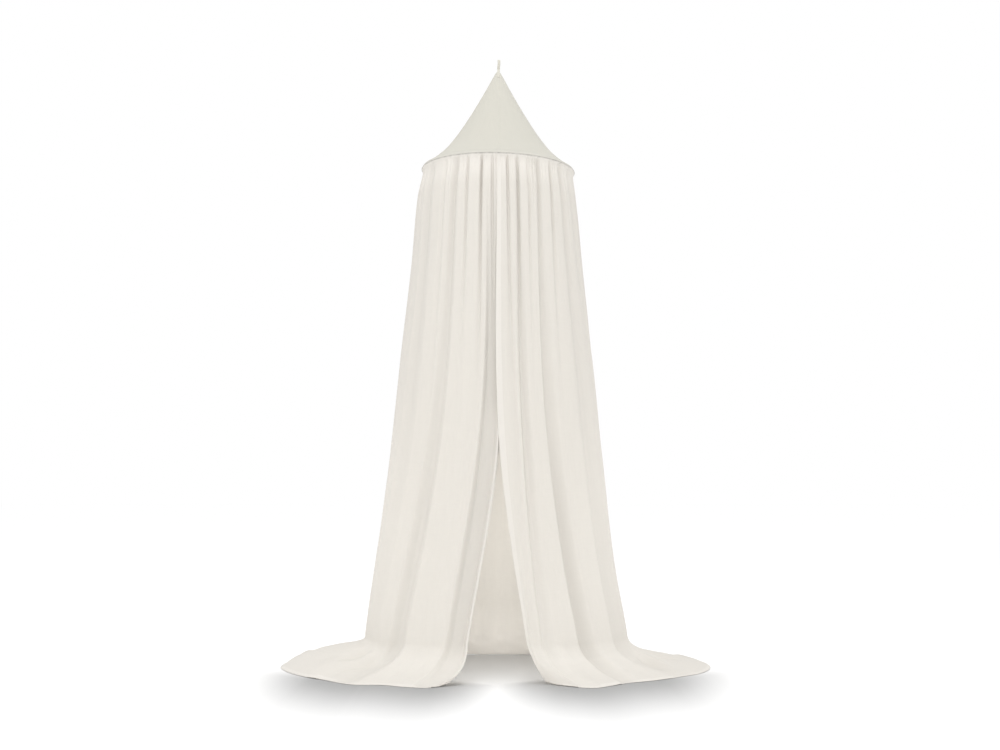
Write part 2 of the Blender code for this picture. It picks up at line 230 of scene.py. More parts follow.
# Dents where the train's cloth slumps on the floor: place of each, which way it runs, its length, width
# and depth
Dent = namedtuple("Dent", "x y turn long wide deep")
DENTS = (
    Dent(-0.425, -0.150, 2, 0.060, 0.016, 0.015),
    Dent(-0.385, -0.205, 8, 0.050, 0.015, 0.014),
    Dent(-0.610, 0.130, 70, 0.090, 0.016, 0.010),
    Dent(-0.680, 0.080, 70, 0.080, 0.012, 0.008),
    Dent(-0.520, -0.120, -12, 0.050, 0.016, 0.004),
    Dent(-0.600, -0.060, 15, 0.040, 0.014, 0.004),
    Dent(0.485, -0.110, -24, 0.060, 0.016, 0.013),
    Dent(0.555, -0.165, 4, 0.050, 0.015, 0.011),
    Dent(0.530, -0.020, -6, 0.040, 0.013, 0.009),
    Dent(0.590, 0.180, -70, 0.090, 0.016, 0.009),
    Dent(0.420, -0.245, 20, 0.040, 0.012, 0.005),
    Dent(0.300, -0.370, 35, 0.030, 0.012, 0.003),
)

# Depth of a valley whose painted shade is as dark as it gets
DEEPEST = 0.022

# How many columns next to the left front edge drop straight to the floor, and how late they swing out
EDGE_COLUMNS = 26
EDGE_SWING = 2.4

# How far the painted shadow on the floor spreads sideways, forward and back from the hem, how far forward
# inside the canopy, how dark it is at the hem, and the extent and spacing of its mesh
SHADOW_SPREAD = (0.13, 0.58, 0.13)
SHADOW_INSIDE = 0.74
SHADOW_DEPTH = 0.62
SHADOW_ACROSS = (-1.2, 1.2001)
SHADOW_AWAY = (-1.7, 0.7001)
SHADOW_CELL = 0.015

# How finely the curtain's mesh is divided, where its first rows lie under the seam, and how thick its turned
# hem is
SEAM_ROWS = (0.0, 0.0018, 0.0036, 0.006)
COLUMNS_PER_FOLD = 24
WALL_ROWS = 60
TRAIN_ROWS = 54
HEM_ROWS = 3
HEM_THICKNESS = 0.0016

# Soft lamps of the studio: where each is and aims, its width and height, and its power in watts. The last one
# stands inside the canopy for the light that comes through the cloth.
Lamp = namedtuple("Lamp", "name place aim size power")
LAMPS = (
    Lamp("soft_key", (-0.6, -3.5, 1.3), (0, 0, -0.2), (1.8, 1.8), 13),
    Lamp("soft_front", (0.0, -4.9, -1.35), (0, 0.4, -1.5), (1.0, 1.0), 20),
    Lamp("soft_left", (-4.0, -0.9, -1.0), (0, 0, -1.2), (2.0, 2.0), 11),
    Lamp("soft_right", (4.0, -0.9, -1.0), (0, 0, -1.2), (2.0, 2.0), 11),
    Lamp("soft_top", (0.0, -1.4, 2.8), (0, 0, -1.5), (2.4, 2.4), 60),
    Lamp("inner_fill", (0.0, -0.24, -1.53), (0, 0.4, -1.63), (0.14, 0.6), 2.1),
)

# Camera: its place sideways and in front, its height above the floor, where it looks (90 degrees is level),
# its lens and its sensor in millimetres
CAMERA_PLACE = (0.006, -4.5)
CAMERA_HEIGHT = 0.5975
CAMERA_PITCH = math.radians(94.4967)
CAMERA_LENS = 49.9
CAMERA_SENSOR = 36

# Cloth patterns, in millimetres across and along the cloth: the threads as drawn, the slubs along the weft,
# those along the warp, and the crumples
THREADS = (2, 2)
WEFT_SLUBS = (55.6, 6.25)
WARP_SLUBS = (5.26, 71.4)
CRUMPLES = (38.5, 111)

# Blotches of the painted floor and marks of the die on the hoop's rod, in millimetres
FLOOR_BLOTCHES = 333
DIE_MARKS = 16.7

# Scale at which a wave texture's bands repeat once for each unit of its input
WAVE_REPEAT = 0.314


class CanopySizes(bpy.types.PropertyGroup):
    gathers: IntProperty(
        name="Gathers",
        description="Small pleats in the heading, all the way round",
        default=88,
        min=20,
        max=160,
    )
    gather_depth: FloatProperty(
        name="Gather depth",
        description="How far the small pleats stand out just under the hoop",
        default=0.0046,
        unit="LENGTH", subtype="DISTANCE",
    )
    hem_width: FloatProperty(
        name="Hem width",
        description="Width of the turned hem along the curtain's edges",
        default=0.012,
        unit="LENGTH", subtype="DISTANCE",
    )
    casing_radius: FloatProperty(
        name="Casing radius",
        description="Radius of the cone's hem where it is turned round the hoop",
        default=0.0065,
        unit="LENGTH", subtype="DISTANCE",
    )
    tape_width: FloatProperty(
        name="Tape width",
        description="Width of the hanging loop's tape",
        default=0.009,
        unit="LENGTH", subtype="DISTANCE",
    )
    tape_thickness: FloatProperty(
        name="Tape thickness",
        description="Thickness of the hanging loop's tape",
        default=0.0015,
        unit="LENGTH", subtype="DISTANCE",
    )


def linear(code):
    """An sRGB hex colour as linear red, green and blue."""
    channels = [int(code[i:i + 2], 16) / 255 for i in (1, 3, 5)]
    return tuple(c / 12.92 if c <= 0.04045 else ((c + 0.055) / 1.055) ** 2.4 for c in channels)


class CanopyColours(bpy.types.PropertyGroup):
    curtain: FloatVectorProperty(
        name="Curtain",
        description="Colour of the curtain's cotton",
        subtype="COLOR", size=3, min=0, max=1,
        default=linear("#D7D3CC"),
    )
    # Lighter colour of double cloth, also laid on low on the back and on the train as painted light
    curtain_thick_and_painted_light: FloatVectorProperty(
        name="Curtain, thick",
        description="Colour of the cotton where it lies double",
        subtype="COLOR", size=3, min=0, max=1,
        default=linear("#E8E4DE"),
    )
    # The cone's cotton is given a darker colour than the curtain's same cotton: painted shade
    cone: FloatVectorProperty(
        name="Cone",
        description="Colour of the cone's single cotton",
        subtype="COLOR", size=3, min=0, max=1,
        default=linear("#CBC9C0"),
    )
    tape: FloatVectorProperty(
        name="Tape",
        description="Colour of the hanging loop",
        subtype="COLOR", size=3, min=0, max=1,
        default=linear("#BFBCB2"),
    )
    rod: FloatVectorProperty(
        name="Hoop",
        description="Colour of the hoop's rod",
        subtype="COLOR", size=3, min=0, max=1,
        default=linear("#EEEEEA"),
    )
    floor: FloatVectorProperty(
        name="Floor",
        description="Colour of the studio floor",
        subtype="COLOR", size=3, min=0, max=1,
        default=linear("#FFFFFF"),
    )


def z_at(height):
    """Height above the floor as a Z value, which counts from the hook."""
    return height - HOOK_HEIGHT


def hoop_tilt(x, y):
    """The hoop hangs a little askew: lower on its right, higher at the front."""
    return -x * math.tan(HOOP_DROP_TO_RIGHT) - y * math.tan(HOOP_RISE_TO_FRONT)


def smooth_span(t, span, low, high, slope_low, slope_high):
    """Values at shares of a span on a smooth curve with the value and the slope of each of its ends."""
    return (
        low * (2 * t ** 3 - 3 * t ** 2 + 1)
        + slope_low * span * (t ** 3 - 2 * t ** 2 + t)
        + high * (3 * t ** 2 - 2 * t ** 3)
        + slope_high * span * (t ** 3 - t ** 2)
    )


def curve_through(keys, values, at):
    """Values at some places on the smooth curve through a table whose keys rise."""
    keys = np.array(keys, float)
    values = np.array(values, float)
    at = np.clip(at, keys[0], keys[-1])
    i = np.clip(np.searchsorted(keys, at) - 1, 0, len(keys) - 2)
    after = np.minimum(np.arange(len(keys)) + 1, len(keys) - 1)
    before = np.maximum(np.arange(len(keys)) - 1, 0)
    slope = (values[after] - values[before]) / (keys[after] - keys[before])
    span = keys[i + 1] - keys[i]
    return smooth_span((at - keys[i]) / span, span, values[i], values[i + 1], slope[i], slope[i + 1])


def drift(x, y, seed):
    """Smooth noise from -1 to 1 over two arrays. Each seed has its own pattern, the same each run."""
    size = 256
    grid = np.random.default_rng(seed).uniform(-1, 1, (size, size))
    x, y = np.broadcast_arrays(np.asarray(x, float), np.asarray(y, float))
    xi, yi = np.floor(x).astype(int), np.floor(y).astype(int)
    tx, ty = x - xi, y - yi
    tx, ty = tx * tx * (3 - 2 * tx), ty * ty * (3 - 2 * ty)
    left, right = xi % size, (xi + 1) % size
    near, far = yi % size, (yi + 1) % size
    low = grid[left, near] * (1 - tx) + grid[right, near] * tx
    high = grid[left, far] * (1 - tx) + grid[right, far] * tx
    return low * (1 - ty) + high * ty


def per_metre(size):
    """How often a pattern of a size in millimetres, or of a width and a length, repeats in a metre."""
    return (1000 / size[0], 1000 / size[1], 0) if isinstance(size, tuple) else 1000 / size


def add(tree, kind, settings=None, **inputs):
    """Adds a node, sets its properties, and sets or links its inputs by name."""
    node = tree.nodes.new(kind)
    for key, value in (settings or {}).items():
        setattr(node, key, value)
    for key, value in inputs.items():
        name = key.replace("_", " ")
        socket = node.inputs[int(key[1:])] if key[0] == "i" and key[1:].isdigit() else node.inputs[name]
        if isinstance(value, bpy.types.NodeSocket):
            tree.links.new(value, socket)
        else:
            socket.default_value = value
    return node


def new_material(name):
    """An empty material and its node tree."""
    material = bpy.data.materials.new(name)
    material.use_nodes = True
    material.node_tree.nodes.clear()
    return material, material.node_tree


def plain_woven_cotton(name, colour, thick, translucence, crumple_mm):
    """Plain-woven cotton voile: matt, soft, a little see-through to light, with uneven threads."""
    material, tree = new_material(name)
    flat = add(tree, "ShaderNodeUVMap", {"uv_map": "cloth"}).outputs["UV"]
    scaled = {"operation": "MULTIPLY"}
    bands = {"wave_type": "BANDS", "wave_profile": "SIN"}
    # Threads are about 0.4 mm apart, too fine to show, so the weave is drawn five times as coarse
    threads = add(tree, "ShaderNodeVectorMath", scaled, i0=flat, i1=per_metre(THREADS))
    warp = add(
        tree, "ShaderNodeTexWave", {**bands, "bands_direction": "X"},
        Vector=threads.outputs[0], Scale=WAVE_REPEAT, Distortion=0.0,
    )
    weft = add(
        tree, "ShaderNodeTexWave", {**bands, "bands_direction": "Y"},
        Vector=threads.outputs[0], Scale=WAVE_REPEAT, Distortion=0.0,
    )
    weave = add(tree, "ShaderNodeMath", scaled, i0=warp.outputs["Fac"], i1=weft.outputs["Fac"])
    # Slubs: threads swell for 5 to 7 cm along the weft and the warp. They are about 1 mm wide, too fine to
    # show, so they are drawn 5 to 6 mm wide.
    weft_run = add(tree, "ShaderNodeVectorMath", scaled, i0=flat, i1=per_metre(WEFT_SLUBS))
    warp_run = add(tree, "ShaderNodeVectorMath", scaled, i0=flat, i1=per_metre(WARP_SLUBS))
    slub_weft = add(tree, "ShaderNodeTexNoise", {}, Vector=weft_run.outputs[0], Scale=1.0, Detail=2.0)
    slub_warp = add(tree, "ShaderNodeTexNoise", {}, Vector=warp_run.outputs[0], Scale=1.0, Detail=2.0)
    slubs = add(
        tree, "ShaderNodeMath", {"operation": "ADD"},
        i0=slub_weft.outputs["Fac"], i1=slub_warp.outputs["Fac"],
    )
    # Soft crumples 4 cm wide and 11 cm long, left by folding and packing
    soft = add(tree, "ShaderNodeVectorMath", scaled, i0=flat, i1=per_metre(CRUMPLES))
    crumple = add(
        tree, "ShaderNodeTexNoise", {}, Vector=soft.outputs[0],
        Scale=1.0, Detail=4.0, Roughness=0.55, Distortion=0.6,
    )
    shade = add(
        tree, "ShaderNodeMapRange", {}, Value=slubs.outputs[0],
        From_Min=0.6, From_Max=1.4, To_Min=0.975, To_Max=1.0,
    )
    # Where the cloth lies double it is lighter, because less shows through it. The same mark, with the thick
    # colour, also carries painted light low on the back and on the train.
    double_and_painted_light = add(tree, "ShaderNodeAttribute", {"attribute_name": "double_and_painted_light"})
    base = add(
        tree, "ShaderNodeMix", {"data_type": "RGBA"},
        i0=double_and_painted_light.outputs["Fac"], i6=(*colour, 1), i7=(*thick, 1),
    )
    # Painted shade: the colour is darkened deep in a fold, and much more in the seam's crevice under the
    # casing
    painted_fold_shade = add(tree, "ShaderNodeAttribute", {"attribute_name": "painted_fold_shade"})
    darker = add(tree, "ShaderNodeMapRange", {}, Value=painted_fold_shade.outputs["Fac"], To_Min=1.0, To_Max=0.91)
    painted_crevice_shade = add(tree, "ShaderNodeAttribute", {"attribute_name": "painted_crevice_shade"})
    darkest = add(tree, "ShaderNodeMapRange", {}, Value=painted_crevice_shade.outputs["Fac"], To_Min=1.0, To_Max=0.45)
    both_dark = add(tree, "ShaderNodeMath", scaled, i0=darker.outputs[0], i1=darkest.outputs[0])
    all_dark = add(tree, "ShaderNodeMath", scaled, i0=both_dark.outputs[0], i1=shade.outputs[0])
    tinted = add(
        tree, "ShaderNodeVectorMath", {"operation": "SCALE"}, i0=base.outputs[2], Scale=all_dark.outputs[0]
    )
    fold_bump = add(
        tree, "ShaderNodeBump", {}, Strength=1.0, Distance=crumple_mm / 1000, Height=crumple.outputs["Fac"]
    )
    slub_bump = add(
        tree, "ShaderNodeBump", {}, Strength=0.5, Distance=0.0003, Height=slubs.outputs[0],
        Normal=fold_bump.outputs["Normal"],
    )
    bump = add(
        tree, "ShaderNodeBump", {}, Strength=0.35, Distance=0.0002, Height=weave.outputs[0],
        Normal=slub_bump.outputs["Normal"],
    )
    front = add(
        tree, "ShaderNodeBsdfPrincipled", {}, Base_Color=tinted.outputs[0], Roughness=0.92, IOR=1.5,
        Specular_IOR_Level=0.2, Normal=bump.outputs["Normal"],
    )
    front.inputs["Sheen Weight"].default_value = 0.12
    front.inputs["Sheen Roughness"].default_value = 0.5
    through = add(
        tree, "ShaderNodeBsdfTranslucent", {}, Color=tinted.outputs[0], Normal=bump.outputs["Normal"]
    )
    share = add(
        tree, "ShaderNodeMapRange", {}, Value=double_and_painted_light.outputs["Fac"],
        To_Min=translucence, To_Max=translucence * 0.5,
    )
    both = add(
        tree, "ShaderNodeMixShader", {}, i0=share.outputs[0], i1=front.outputs[0], i2=through.outputs[0]
    )
    add(tree, "ShaderNodeOutputMaterial", {}, Surface=both.outputs[0])
    return material


def make_mesh(name, grid, cloth, marks, material, loop=False):
    """A mesh over a grid of points, columns first, with its places on the flat cloth in metres as a UV map,
    and named marks on its points."""
    columns, rows = grid.shape[:2]
    mesh = bpy.data.meshes.new(name)
    points = [tuple(p) for p in grid.reshape(-1, 3)]
    faces = []
    spans = columns if loop else columns - 1
    for i in range(spans):
        k = (i + 1) % columns
        for j in range(rows - 1):
            faces.append((i * rows + j, i * rows + j + 1, k * rows + j + 1, k * rows + j))
    mesh.from_pydata(points, [], faces)
    uv = mesh.uv_layers.new(name="cloth")
    flat = cloth.reshape(-1, 2)
    seam = flat[(columns - 1) * rows:].copy()
    step = seam[:, 0] - flat[(columns - 2) * rows:(columns - 1) * rows, 0]
    values = []
    for i in range(spans):
        last = i == columns - 1
        for j in range(rows - 1):
            a, b = flat[i * rows + j], flat[i * rows + j + 1]
            if last:
                c = seam[j + 1] + (step[j + 1], 0)
                d = seam[j] + (step[j], 0)
            else:
                c, d = flat[(i + 1) * rows + j + 1], flat[(i + 1) * rows + j]
            values.extend((*a, *b, *c, *d))
    uv.data.foreach_set("uv", values)
    for mark, values in marks.items():
        attribute = mesh.attributes.new(mark, "FLOAT", "POINT")
        attribute.data.foreach_set("value", np.asarray(values).reshape(-1).astype(np.float32))
    mesh.materials.append(material)
    mesh.shade_smooth()
    mesh.update()
    piece = bpy.data.objects.new(name, mesh)
    bpy.context.scene.collection.objects.link(piece)
    return piece


def normals_of(grid):
    """Unit normals of a grid of points, outward where its columns run round the canopy and its rows down."""
    across = np.gradient(grid, axis=0)
    down = np.gradient(grid, axis=1)
    normal = np.cross(down, across)
    return normal / np.maximum(np.linalg.norm(normal, axis=2, keepdims=True), 1e-9)


def at_hem(field, angles):
    """The radius or the heap that HEM_REACH gives at some angles."""
    return curve_through([row.angle for row in HEM_REACH], [getattr(row, field) for row in HEM_REACH], angles)


def falls(t, reach, flat):
    """How much of a valley's depth is left at a share of the way to the next valley."""
    slope = np.clip((t / reach - flat) / (1 - flat), 0, 1)
    return np.cos(math.pi / 2 * slope) ** 1.8


def curtain_columns():
    """Every column of the curtain: its angles and valley depths at the hoop, waist, foot and hem."""
    last = len(FOLDS) - 1
    rows = np.array(FOLDS, float)
    place = np.arange(last * COLUMNS_PER_FOLD + 1) / COLUMNS_PER_FOLD
    k = np.minimum(place.astype(int), last - 1)
    t = place - k
    left, right = rows[k], rows[k + 1]
    angles = left[:, :4] + (right[:, :4] - left[:, :4]) * t[:, None]
    depths = np.zeros((len(t), 4))
    for level in range(4):
        tight_left, tight_right = (row[:, 11] if level == 0 else 1 for row in (left, right))
        share_left = falls(t, left[:, 9] * tight_left, left[:, 10] * tight_left)
        share_right = falls(1 - t, right[:, 8] * tight_right, right[:, 10] * tight_right)
        depths[:, level] = (left[:, 4 + level] * share_left + right[:, 4 + level] * share_right) / 1000
    waists = np.full(last + 1, WAIST_HEIGHT)
    waists[[0, last]] = OPENING_HEIGHT
    waist = waists[k] + (waists[k + 1] - waists[k]) * t
    return angles, depths, waist


def wall_radius(heights, angles):
    """Radius of the folds' crests for rows of heights and columns of angles."""
    keys = [row.height for row in SECTIONS]
    across, along = np.sin(np.radians(angles)), np.cos(np.radians(angles))
    front, right, back, left = (
        curve_through(keys, [getattr(row, side) for row in SECTIONS], heights)
        for side in ("front", "right", "back", "left")
    )
    side = np.where(across > 0, right, left)
    end = np.where(along > 0, front, back)
    return side * across ** 2 + end * along ** 2


def between_levels(levels, knots, at):
    """Values at some places on a smooth path through four levels, column by column."""
    slopes = np.empty_like(levels)
    slopes[:, 0] = (levels[:, 1] - levels[:, 0]) / (knots[:, 1] - knots[:, 0])
    slopes[:, 3] = (levels[:, 3] - levels[:, 2]) / (knots[:, 3] - knots[:, 2])
    for j in (1, 2):
        before = (levels[:, j] - levels[:, j - 1]) / (knots[:, j] - knots[:, j - 1])
        after = (levels[:, j + 1] - levels[:, j]) / (knots[:, j + 1] - knots[:, j])
        slopes[:, j] = (before + after) / 2
    found = np.zeros((len(levels), len(at)))
    for j in range(3):
        low, high = knots[:, j:j + 1], knots[:, j + 1:j + 2]
        inside = (at[None, :] >= low) & (at[None, :] <= high)
        t = np.clip((at[None, :] - low) / (high - low), 0, 1)
        curve = smooth_span(
            t, high - low, levels[:, j:j + 1], levels[:, j + 1:j + 2],
            slopes[:, j:j + 1], slopes[:, j + 1:j + 2],
        )
        found = np.where(inside, curve, found)
    return found


def curtain_grid(sizes):
    """Points of the curtain's outer face, how far under the hoop each row is and how far round each column,
    and how deep in a fold each point lies, as the share that sets its painted shade."""
    angles, depths, waist = curtain_columns()
    top = HOOP_HEIGHT - SEAM_DROP
    # Rows crowd near the heading and the foot, where the cloth turns most
    share = np.linspace(0, 1, WALL_ROWS)
    wall_length = top - FLARE_HEIGHT
    heights = top - wall_length * (share - 0.10 * np.sin(2 * math.pi * share))
    heights = np.concatenate([top - np.array(SEAM_ROWS), heights[1:]])
    hem_share = sizes.hem_width / TRAIN_LENGTH
    steps = np.linspace(0, 1 - hem_share, TRAIN_ROWS + 1)[1:]
    steps = np.concatenate([steps, np.linspace(1 - hem_share, 1, HEM_ROWS + 1)[1:]])
    path = np.concatenate([top - heights, wall_length + steps * TRAIN_LENGTH])
    knots = np.column_stack([
        np.zeros_like(waist), top - waist, np.full_like(waist, wall_length),
        np.full_like(waist, wall_length + TRAIN_LENGTH),
    ])
    angle = between_levels(angles, knots, path)
    # The front edge on the left drops straight to the floor before it swings out
    from_edge = np.exp(-((len(angles) - 1 - np.arange(len(angles))) / EDGE_COLUMNS) ** 2)[:, None]
    swing = angles[:, 2:3] + (angles[:, 3:4] - angles[:, 2:3]) * steps[None, :] ** EDGE_SWING
    wall = len(heights)
    angle[:, wall:] += (swing - angle[:, wall:]) * from_edge
    depth = np.maximum(between_levels(depths, knots, path), 0)
    below = np.clip(path / HEADING, 0, 1)
    depth *= HEADING_DEPTH + (1 - HEADING_DEPTH) * below * below * (3 - 2 * below)
    # At the seam the pleats are pressed flat on the casing
    depth *= np.clip(path / PRESSED, 0, 1) ** 1.5
    u = np.linspace(0, 1, len(angles))[:, None]
    # How deep in a fold each point lies, as a share, sets its painted shade
    painted_fold_shade = np.clip(depth / DEEPEST, 0, 1)
    depth += small_folds(u, path[None, :], sizes)

    radius = wall_radius(heights[None, :], angle[:, :wall]) - CLOTH_LIFT - depth[:, :wall]
    # At the seam the cloth lies against the casing, and a few centimetres down it hangs free
    radius += (HOOP_RADIUS + sizes.casing_radius + 0.002 - radius[:, :1]) * np.exp(-path[:wall] / 0.009)
    turn = np.radians(angle[:, :wall])
    x, y = radius * np.sin(turn), -radius * np.cos(turn)
    # The hoop's tilt fades out on the way to the floor
    tilt = hoop_tilt(x, y) * (heights[None, :] / top) ** 2
    wall_points = np.stack([x, y, z_at(heights[None, :]) + tilt], axis=2)
    train_points = train_grid(angles[:, 2], angles[:, 3], steps, angle[:, wall:], depth[:, wall:])
    return np.concatenate([wall_points, train_points], axis=1), path, u[:, 0], painted_fold_shade


def train_grid(foot, hem, steps, angle, depth):
    """Points of the train, which bends out on to the floor, is heaped in places and ends at its hem."""
    start = wall_radius(np.full_like(foot, FLARE_HEIGHT), foot)[:, None]
    end = at_hem("radius", hem)[:, None]
    heap = at_hem("heap", hem)[:, None]
    heaped = np.clip((heap - 0.036) / 0.02, 0, 1)
    knee = FLARE_KNEE + (HEAP_KNEE * heap - FLARE_KNEE) * heaped
    # Radius and height of each column follow a curve with four control points
    bend = start + FLARE_SLOPE * (FLARE_HEIGHT - knee)
    knots_r = (start, bend, start + FLARE_FULLNESS * (end - start), end)
    knots_h = (FLARE_HEIGHT, knee, heap, HEM_LIFT)
    s = steps[None, :]
    # Where the train is long it lies puffed up, and rounds off only close to its hem
    puff = TRAIN_PUFF * np.clip((end - start - 0.08) / 0.16, 0, 1) * s ** 3 * (1 - s ** 6) * 1.9
    weights = ((1 - s) ** 3, 3 * s * (1 - s) ** 2, 3 * s ** 2 * (1 - s), s ** 3)
    slopes = ((1 - s) ** 2, 2 * s * (1 - s), s ** 2)
    r = sum(w * k for w, k in zip(weights, knots_r))
    h = sum(w * k for w, k in zip(weights, knots_h)) + puff
    run = sum(w * (b - a) for w, a, b in zip(slopes, knots_r, knots_r[1:]))
    fall = sum(w * (b - a) for w, a, b in zip(slopes, knots_h, knots_h[1:]))
    length = np.hypot(run, fall)
    sunk = CLOTH_LIFT + depth
    r = r + sunk * fall / length
    h = np.maximum(h - sunk * run / length, FLOOR_GAP)
    turn = np.radians(angle)
    on_floor = np.clip((s - 0.1) / 0.25, 0, 1) * (1 - s ** 4)
    for dent in DENTS:
        away_x, away_y = r * np.sin(turn) - dent.x, -r * np.cos(turn) - dent.y
        along_x, along_y = math.cos(math.radians(dent.turn)), math.sin(math.radians(dent.turn))
        along = (away_x * along_x + away_y * along_y) / dent.long
        across = (away_y * along_x - away_x * along_y) / dent.wide
        sag = np.exp(-along ** 2) * (np.exp(-across ** 2) - 0.5 * np.exp(-(across - 2) ** 2))
        h = np.maximum(h - dent.deep * sag * on_floor, FLOOR_GAP)
    return np.stack([r * np.sin(turn), -r * np.cos(turn), z_at(h)], axis=2)


def small_folds(u, below, sizes):
    """Depth of the small gathers under the hoop, the soft ripples below them and the train's crumples."""
    wander = 0.9 * drift(u * 60, below * 3, 11)
    fine = np.sin(2 * math.pi * (sizes.gathers * u + wander)) * (0.75 + 0.5 * drift(u * 50, below * 2, 12))
    middle = np.sin(2 * math.pi * (sizes.gathers * 0.43 * u + 1.3 * drift(u * 24, below * 1.2, 13)))
    ripple = drift(u * 66, below * 1.6, 14) + 0.6 * drift(u * 120, below * 7, 15)
    dimple = drift(u * 30, below * 9, 16) + 0.5 * drift(u * 70, below * 18, 17)
    fade_in = np.clip(below / 0.012, 0.35, 1)
    reach = 0.05 * (1.4 + 1.3 * drift(u * 80, 0 * below, 18))
    edge = np.clip(np.minimum(u, 1 - u) * 90, 0, 1)
    on_train = np.clip((below - CRUMPLED_FROM) / 0.1, 0, 1)
    return edge * (
        # Stitched gathers, gone a hand's breadth under the hoop, and wider ones between them that run on
        sizes.gather_depth * ((1 + fine) * 0.5) ** 2 * fade_in * np.exp(-below / np.maximum(reach, 0.02))
        + 0.0020 * (1 + middle) * 0.5 * np.exp(-below / 0.22)
        # Ripples all the way down, dimples from a little under the heading, and crumples on the floor
        + 0.0006 * (1 + ripple) * np.clip(1.3 - below / 1.6, 0.35, 1)
        + 0.0007 * (1 + dimple) * (1 - np.exp(-below / 0.3))
        + 0.0016 * (1.5 + dimple) * on_train
    )


def turn_edge(layers, axis, count, thick):
    """Turns the last columns or rows of the cloth back under, as a hem is turned."""
    grid, *rest = layers
    last = grid.shape[axis] - 1
    normal = normals_of(grid)
    edge, inner = (np.take(grid, [k], axis=axis) for k in (last, last - 1))
    out = edge - inner
    out /= np.linalg.norm(out, axis=2, keepdims=True)
    lip = edge + (out - np.take(normal, [last], axis=axis)) * thick / 2
    under = np.arange(last, last - count - 1, -1)
    back = np.take(grid, under, axis=axis) - np.take(normal, under, axis=axis) * thick
    grid = np.concatenate([grid, lip, back], axis=axis)
    grid[:, :, 2] = np.maximum(grid[:, :, 2], z_at(0.0006))
    keep = np.concatenate([[last], under])
    rest = [np.concatenate([part, np.take(part, keep, axis=axis)], axis=axis) for part in rest]
    return [grid, *rest]


def turn_hems(layers, count_start, count_end):
    """Turns the bottom edge and the two front edges of the curtain."""
    layers = turn_edge(layers, 1, HEM_ROWS, HEM_THICKNESS)
    layers = turn_edge(layers, 0, count_end, HEM_THICKNESS)
    grid, *rest = [part[::-1] for part in layers]
    # Columns that run the other way would turn the normals round, so their order is kept for the hem alone
    mirror = grid * (-1, 1, 1)
    grid, *rest = turn_edge([mirror, *rest], 0, count_start, HEM_THICKNESS)
    return [(grid * (-1, 1, 1))[::-1], *[part[::-1] for part in rest]]


def cone_drop(radii):
    """How far the cone's cloth lies below the tip at some radii."""
    return curve_through([row.radius for row in CONE_OUTLINE], [row.drop for row in CONE_OUTLINE], radii)


def link(piece, *nodes):
    """Puts a piece on the one body, in the place of the solids that it stands for."""
    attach(piece, "root")
    if nodes:
        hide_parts(*nodes)


def painted_shadow_card():
    """A painted shadow on the studio floor, darkest at the hems and gone about a metre in front of them."""
    side, front, back = SHADOW_SPREAD
    across, away = np.arange(*SHADOW_ACROSS, SHADOW_CELL), np.arange(*SHADOW_AWAY, SHADOW_CELL)
    x, y = np.meshgrid(across, away, indexing="ij")
    angles, _, _ = curtain_columns()
    hem = angles[::6, 3]
    reach = at_hem("radius", hem)
    painted_shadow_density = np.zeros(x.shape)
    for px, py in zip(reach * np.sin(np.radians(hem)), -reach * np.cos(np.radians(hem))):
        # Inside the canopy the painted shadow greys the floor evenly as far as the opening. In front of the
        # hems it fades with distance, and it is weaker near the middle, where the opening is.
        inside = py > 0.36 and abs(px) < 0.34
        weight = 0.66 if inside else min(max((0.05 - py) / 0.25, 0), 0.55 + 2.4 * abs(px), 1)
        fade, power = (SHADOW_INSIDE, 10) if inside else (front, 1.6)
        ahead = np.where(y < py, (y - py) / fade, (y - py) / back)
        painted_shadow_density = np.maximum(painted_shadow_density, weight * np.exp(-((x - px) / side) ** 2 - np.abs(ahead) ** power))
    points = np.stack([x, y, np.full(x.shape, z_at(0.0003))], axis=2)
    # Thin dark film that paints the shadow: it greys the floor under it and lets the rest through
    material, tree = new_material("painted_shadow_film")
    density = add(tree, "ShaderNodeAttribute", {"attribute_name": "painted_shadow_density"})
    clear = add(tree, "ShaderNodeBsdfTransparent", {})
    dark = add(tree, "ShaderNodeBsdfDiffuse", {}, Color=(*linear("#000000"), 1))
    both = add(
        tree, "ShaderNodeMixShader", {}, i0=density.outputs["Fac"], i1=clear.outputs[0], i2=dark.outputs[0]
    )
    add(tree, "ShaderNodeOutputMaterial", {}, Surface=both.outputs[0])
    marks = {"painted_shadow_density": SHADOW_DEPTH * painted_shadow_density}
    card = make_mesh("painted_shadow_card", points, points[:, :, :2], marks, material)
    card.visible_diffuse = False
    card.visible_transmission = False
    card.visible_shadow = False
    return card


